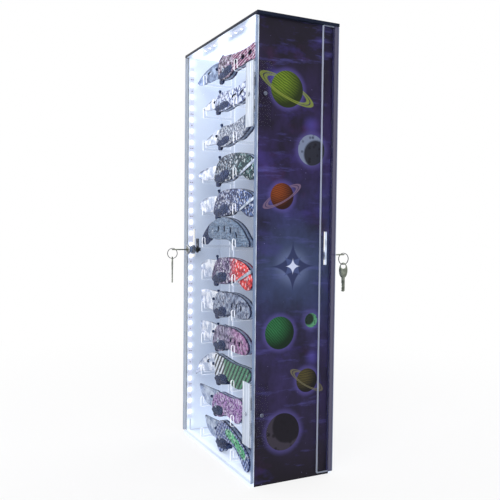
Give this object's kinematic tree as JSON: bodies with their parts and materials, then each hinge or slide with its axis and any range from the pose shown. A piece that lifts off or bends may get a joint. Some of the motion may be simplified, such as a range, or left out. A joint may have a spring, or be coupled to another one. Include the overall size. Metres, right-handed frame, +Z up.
{
  "type": "knife display case",
  "caption": "Tall two-sided acrylic display case with lit compartments, hook combs that carry folding knives, and a clear locking door on each face.",
  "frame": {"origin": "middle of the underside of the base panel", "axes": "+Z up, front door towards -Y, its hinge towards +X and its lock towards -X; the rear side is the front one turned half round"},
  "size_m": [0.2352, 0.179, 0.56],
  "materials": {
    "opal_acrylic": "opal white acrylic sheet, flame polished edges",
    "cap_acrylic": "grey blue acrylic sheet with a printed face",
    "clear_acrylic": "clear polished acrylic",
    "hinge_plastic": "clear moulded polycarbonate hinge with plated screws",
    "printed_film": "satin printed vinyl film",
    "lamp_board": "white circuit tape with lamps",
    "white_cable": "white cable sheath",
    "zinc_plate": "bright plated zinc casting",
    "nickel_plate": "nickel plated steel",
    "dark_steel": "dark plated steel",
    "black_plastic": "moulded black plastic",
    "knife_crimson": "anodised handle with a steel blade",
    "knife_slate": "anodised handle with a steel blade",
    "knife_pewter": "anodised handle with a steel blade",
    "knife_moss": "anodised handle with a steel blade",
    "knife_cobalt": "anodised handle with a steel blade",
    "knife_fan": "anodised handle with a steel blade",
    "knife_scarlet": "anodised handle with a steel blade",
    "knife_steel": "anodised handle with a steel blade",
    "knife_mauve": "anodised handle with a steel blade",
    "knife_striped": "anodised handle with a steel blade",
    "knife_magenta": "anodised handle with a steel blade",
    "knife_net": "anodised handle with a steel blade"
  },
  "bodies": {
    "root": {"base_panel": "opal_acrylic", "top_panel": "cap_acrylic", "divider_panel": "opal_acrylic", "left_side_wall": "opal_acrylic", "right_side_wall": "opal_acrylic", "left_graphic_sheet": "printed_film", "right_graphic_sheet": "printed_film", "power_socket": "black_plastic", "power_socket_nut": "nickel_plate", "feed_lead": "white_cable", "front_lower_hinge_wall_leaf": "hinge_plastic", "front_upper_hinge_wall_leaf": "hinge_plastic", "front_blade_hook_comb": "clear_acrylic", "front_handle_hook_comb": "clear_acrylic", "front_lock_side_lamp_strip": "lamp_board", "front_hinge_side_lamp_strip": "lamp_board", "front_top_lamp_strip": "lamp_board", "front_lamp_cable": "white_cable", "rear_lower_hinge_wall_leaf": "hinge_plastic", "rear_upper_hinge_wall_leaf": "hinge_plastic", "rear_blade_hook_comb": "clear_acrylic", "rear_handle_hook_comb": "clear_acrylic", "rear_lock_side_lamp_strip": "lamp_board", "rear_hinge_side_lamp_strip": "lamp_board", "rear_top_lamp_strip": "lamp_board", "rear_lamp_cable": "white_cable", "front_knife_01_crimson": "knife_crimson", "front_knife_02_slate": "knife_slate", "front_knife_03_pewter": "knife_pewter", "front_knife_04_moss": "knife_moss", "front_knife_05_cobalt": "knife_cobalt", "front_knife_06_fan": "knife_fan", "front_knife_07_scarlet": "knife_scarlet", "front_knife_08_steel": "knife_steel", "front_knife_09_mauve": "knife_mauve", "front_knife_10_striped": "knife_striped", "front_knife_11_magenta": "knife_magenta", "front_knife_12_net": "knife_net"},
    "front_door_body": {"front_door": "clear_acrylic", "front_lower_hinge_door_leaf": "hinge_plastic", "front_upper_hinge_door_leaf": "hinge_plastic", "front_lock_housing": "zinc_plate", "front_lock_nut": "zinc_plate"},
    "front_lock_body": {"front_lock_plug": "nickel_plate", "front_lock_cam": "dark_steel", "front_cam_screw": "dark_steel"},
    "front_key_body": {"front_lock_key": "nickel_plate"},
    "front_ring_body": {"front_key_ring": "dark_steel"},
    "front_spare_key_body": {"front_spare_key": "nickel_plate"},
    "rear_door_body": {"rear_door": "clear_acrylic", "rear_lower_hinge_door_leaf": "hinge_plastic", "rear_upper_hinge_door_leaf": "hinge_plastic", "rear_lock_housing": "zinc_plate", "rear_lock_nut": "zinc_plate"},
    "rear_lock_body": {"rear_lock_plug": "nickel_plate", "rear_lock_cam": "dark_steel", "rear_cam_screw": "dark_steel"},
    "rear_key_body": {"rear_lock_key": "nickel_plate"},
    "rear_ring_body": {"rear_key_ring": "dark_steel"},
    "rear_spare_key_body": {"rear_spare_key": "nickel_plate"}
  },
  "joints": [
    {"name": "front_door_hinge", "type": "hinge", "parent": "root", "child": "front_door_body", "pos_m": [0.1151, -0.058, 0.28], "axis": [0, 0, 1], "range_deg": [0, 180]},
    {"name": "front_lock_turn", "type": "hinge", "parent": "front_door_body", "child": "front_lock_body", "pos_m": [-0.097, -0.0565, 0.2755], "axis": [0, -1, 0], "range_deg": [0, 90]},
    {"name": "front_key_pull", "type": "slide", "parent": "front_lock_body", "child": "front_key_body", "axis": [0, -1, 0], "range_m": [0, 0.016]},
    {"name": "front_ring_swing", "type": "hinge", "parent": "front_key_body", "child": "front_ring_body", "pos_m": [-0.097, -0.0817, 0.2755], "axis": [-1, 0, 0], "range_deg": [-8, 60]},
    {"name": "front_spare_key_swing", "type": "hinge", "parent": "front_ring_body", "child": "front_spare_key_body", "pos_m": [-0.097, -0.0817, 0.2627], "axis": [0, -1, 0], "range_deg": [-40, 40]},
    {"name": "rear_door_hinge", "type": "hinge", "parent": "root", "child": "rear_door_body", "pos_m": [-0.1151, 0.058, 0.28], "axis": [0, 0, 1], "range_deg": [0, 180]},
    {"name": "rear_lock_turn", "type": "hinge", "parent": "rear_door_body", "child": "rear_lock_body", "pos_m": [0.097, 0.0565, 0.2755], "axis": [0, 1, 0], "range_deg": [0, 90]},
    {"name": "rear_key_pull", "type": "slide", "parent": "rear_lock_body", "child": "rear_key_body", "axis": [0, 1, 0], "range_m": [0, 0.016]},
    {"name": "rear_ring_swing", "type": "hinge", "parent": "rear_key_body", "child": "rear_ring_body", "pos_m": [0.097, 0.0817, 0.2755], "axis": [1, 0, 0], "range_deg": [-8, 60]},
    {"name": "rear_spare_key_swing", "type": "hinge", "parent": "rear_ring_body", "child": "rear_spare_key_body", "pos_m": [0.097, 0.0817, 0.2627], "axis": [0, 1, 0], "range_deg": [-40, 40]}
  ]
}
